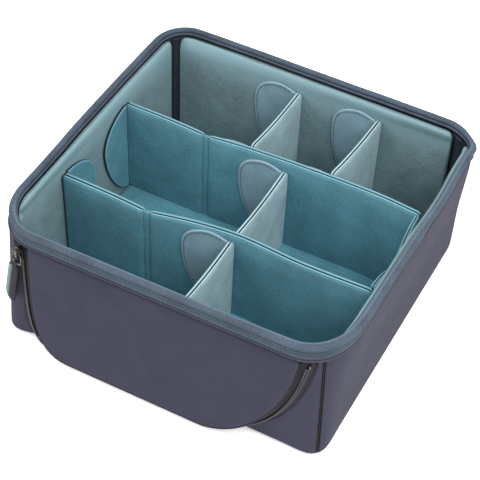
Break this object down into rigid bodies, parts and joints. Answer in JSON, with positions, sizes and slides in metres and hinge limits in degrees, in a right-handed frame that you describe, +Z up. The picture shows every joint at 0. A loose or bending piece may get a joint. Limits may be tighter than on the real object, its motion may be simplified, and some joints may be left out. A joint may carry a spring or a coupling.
{
  "type": "camera bag insert",
  "caption": "Open padded box with a zipped front door and lift-out padded dividers that fold and stick to the lining.",
  "frame": {"origin": "middle of the base, on the surface that the insert stands on", "axes": "+X to the right along the front, +Y to the back wall, +Z up"},
  "size_m": [0.3066, 0.3043, 0.1309],
  "materials": {
    "polyester_shell": "woven matt polyester",
    "rim_tape": "ribbed woven tape",
    "teal_lining": "brushed lining over foam",
    "teal_divider": "brushed lining over foam",
    "grey_divider": "brushed lining over foam",
    "tab_felt": "hook-backed felt",
    "dark_fabric": "dark woven fabric",
    "zip_tape": "woven zip tape",
    "zip_nylon": "nylon coil",
    "gunmetal": "dark plated zinc",
    "pull_rubber": "moulded soft rubber",
    "core_board": "plain sheet, never seen"
  },
  "bodies": {
    "box": {"base_fabric": "polyester_shell", "front_wall_fabric": "polyester_shell", "wrap_wall_fabric": "polyester_shell", "rim_edge_piping": "polyester_shell", "front_left_seam_piping": "dark_fabric", "front_right_seam_piping": "dark_fabric", "back_left_corner_lining": "dark_fabric", "back_right_corner_lining": "dark_fabric", "front_left_corner_lining": "dark_fabric", "front_right_corner_lining": "dark_fabric", "base_board": "core_board", "front_wall_board": "core_board", "left_wall_board": "core_board", "right_wall_board": "core_board", "back_wall_board": "core_board", "rim_cord": "core_board", "front_wall_pad": "teal_lining", "left_wall_pad": "teal_lining", "right_wall_pad": "teal_lining", "back_wall_pad": "teal_lining", "floor_pad": "teal_lining", "rim_binding": "rim_tape", "zip_tape_wall": "zip_tape", "zip_coil_wall": "zip_nylon", "zip_stop_left": "gunmetal", "zip_stop_right": "gunmetal"},
    "door": {"door_fabric": "polyester_shell", "door_board": "core_board", "door_pad": "teal_lining", "door_piping": "dark_fabric", "zip_tape_door": "zip_tape", "zip_coil_door": "zip_nylon"},
    "zip slider": {"zip_slider": "gunmetal"},
    "pull ring": {"zip_pull_ring": "gunmetal"},
    "pull tab": {"zip_pull_tab": "pull_rubber"},
    "rear divider": {"rear_divider_right_panel": "teal_divider"},
    "rear divider left panel": {"rear_divider_left_panel": "teal_divider"},
    "rear divider left tab": {"rear_divider_left_tab": "teal_divider"},
    "rear divider right tab": {"rear_divider_right_tab": "teal_divider"},
    "front divider": {"front_divider_right_panel": "teal_divider"},
    "front divider left panel": {"front_divider_left_panel": "teal_divider"},
    "front divider left tab": {"front_divider_left_tab": "teal_divider"},
    "front divider right tab": {"front_divider_right_tab": "teal_divider"},
    "rear short divider left": {"rear_short_divider_left_panel": "grey_divider"},
    "rear short divider left back tab": {"rear_short_divider_left_back_tab": "tab_felt"},
    "rear short divider left front tab": {"rear_short_divider_left_front_tab": "tab_felt"},
    "rear short divider right": {"rear_short_divider_right_panel": "grey_divider"},
    "rear short divider right back tab": {"rear_short_divider_right_back_tab": "tab_felt"},
    "rear short divider right front tab": {"rear_short_divider_right_front_tab": "tab_felt"},
    "middle short divider": {"middle_short_divider_panel": "grey_divider"},
    "middle short divider back tab": {"middle_short_divider_back_tab": "tab_felt"},
    "middle short divider front tab": {"middle_short_divider_front_tab": "tab_felt"},
    "front short divider": {"front_short_divider_panel": "grey_divider"},
    "front short divider back tab": {"front_short_divider_back_tab": "tab_felt"},
    "front short divider front tab": {"front_short_divider_front_tab": "tab_felt"}
  },
  "joints": [
    {"name": "door hinge", "type": "hinge", "parent": "box", "child": "door", "pos_m": [0, -0.1425, 0.1105], "axis": [-1, 0, 0], "range_deg": [0, 100]},
    {"name": "slider travel", "type": "slide", "parent": "door", "child": "zip slider", "axis": [0.1178, -0.1437, -0.9826], "range_m": [0, 0.015]},
    {"name": "ring swing", "type": "hinge", "parent": "zip slider", "child": "pull ring", "pos_m": [-0.12308, -0.14505, 0.10198], "axis": [-0.9405, 0.2926, 0.1728], "range_deg": [0, 75]},
    {"name": "pull tab swing", "type": "hinge", "parent": "pull ring", "child": "pull tab", "pos_m": [-0.12513, -0.14549, 0.09159], "axis": [-0.9405, 0.2926, 0.1728], "range_deg": [0, 55]},
    {"name": "rear divider lift", "type": "slide", "parent": "box", "child": "rear divider", "axis": [0.0305, 0, 0.9995], "range_m": [0, 0.12]},
    {"name": "rear divider fold", "type": "hinge", "parent": "rear divider", "child": "rear divider left panel", "pos_m": [-0.06163, 0.04329, 0.0123], "axis": [0.0305, 0, 0.9995], "range_deg": [0, 45]},
    {"name": "rear divider left tab peel", "type": "hinge", "parent": "rear divider left panel", "child": "rear divider left tab", "pos_m": [-0.14052, 0.0427, 0.0123], "axis": [0.0305, 0, 0.9995], "range_deg": [0, 75]},
    {"name": "rear divider right tab peel", "type": "hinge", "parent": "rear divider", "child": "rear divider right tab", "pos_m": [0.13328, 0.03923, 0.0123], "axis": [0.0305, 0, 0.9995], "range_deg": [-75, 0]},
    {"name": "front divider lift", "type": "slide", "parent": "box", "child": "front divider", "axis": [0.0305, 0, 0.9995], "range_m": [0, 0.12]},
    {"name": "front divider fold", "type": "hinge", "parent": "front divider", "child": "front divider left panel", "pos_m": [-0.06062, -0.0543, 0.0123], "axis": [0.0305, 0, 0.9995], "range_deg": [-45, 0]},
    {"name": "front divider left tab peel", "type": "hinge", "parent": "front divider left panel", "child": "front divider left tab", "pos_m": [-0.14052, -0.04921, 0.0123], "axis": [0.0305, 0, 0.9995], "range_deg": [-75, 0]},
    {"name": "front divider right tab peel", "type": "hinge", "parent": "front divider", "child": "front divider right tab", "pos_m": [0.13328, -0.0447, 0.0123], "axis": [0.0305, 0, 0.9995], "range_deg": [0, 75]},
    {"name": "rear short divider left lift", "type": "slide", "parent": "box", "child": "rear short divider left", "axis": [0.0305, 0, 0.9995], "range_m": [0, 0.12]},
    {"name": "rear short divider left back tab peel", "type": "hinge", "parent": "rear short divider left", "child": "rear short divider left back tab", "pos_m": [-0.02032, 0.1306, 0.0123], "axis": [0.0305, 0, 0.9995], "range_deg": [0, 75]},
    {"name": "rear short divider left front tab peel", "type": "hinge", "parent": "rear short divider left", "child": "rear short divider left front tab", "pos_m": [-0.02343, 0.05137, 0.0123], "axis": [0.0305, 0, 0.9995], "range_deg": [-75, 0]},
    {"name": "rear short divider right lift", "type": "slide", "parent": "box", "child": "rear short divider right", "axis": [0.0305, 0, 0.9995], "range_m": [0, 0.12]},
    {"name": "rear short divider right back tab peel", "type": "hinge", "parent": "rear short divider right", "child": "rear short divider right back tab", "pos_m": [0.05658, 0.1306, 0.0123], "axis": [0.0305, 0, 0.9995], "range_deg": [0, 75]},
    {"name": "rear short divider right front tab peel", "type": "hinge", "parent": "rear short divider right", "child": "rear short divider right front tab", "pos_m": [0.05077, 0.05315, 0.0123], "axis": [0.0305, 0, 0.9995], "range_deg": [-75, 0]},
    {"name": "middle short divider lift", "type": "slide", "parent": "box", "child": "middle short divider", "axis": [0.0305, 0, 0.9995], "range_m": [0, 0.12]},
    {"name": "middle short divider back tab peel", "type": "hinge", "parent": "middle short divider", "child": "middle short divider back tab", "pos_m": [0.01178, 0.04179, 0.0123], "axis": [0.0305, 0, 0.9995], "range_deg": [0, 75]},
    {"name": "middle short divider front tab peel", "type": "hinge", "parent": "middle short divider", "child": "middle short divider front tab", "pos_m": [0.01157, -0.04055, 0.0123], "axis": [0.0305, 0, 0.9995], "range_deg": [-75, 0]},
    {"name": "front short divider lift", "type": "slide", "parent": "box", "child": "front short divider", "axis": [0.0305, 0, 0.9995], "range_m": [0, 0.12]},
    {"name": "front short divider back tab peel", "type": "hinge", "parent": "front short divider", "child": "front short divider back tab", "pos_m": [0.01128, -0.05137, 0.0123], "axis": [0.0305, 0, 0.9995], "range_deg": [0, 75]},
    {"name": "front short divider front tab peel", "type": "hinge", "parent": "front short divider", "child": "front short divider front tab", "pos_m": [0.00958, -0.1306, 0.0123], "axis": [0.0305, 0, 0.9995], "range_deg": [-75, 0]}
  ]
}
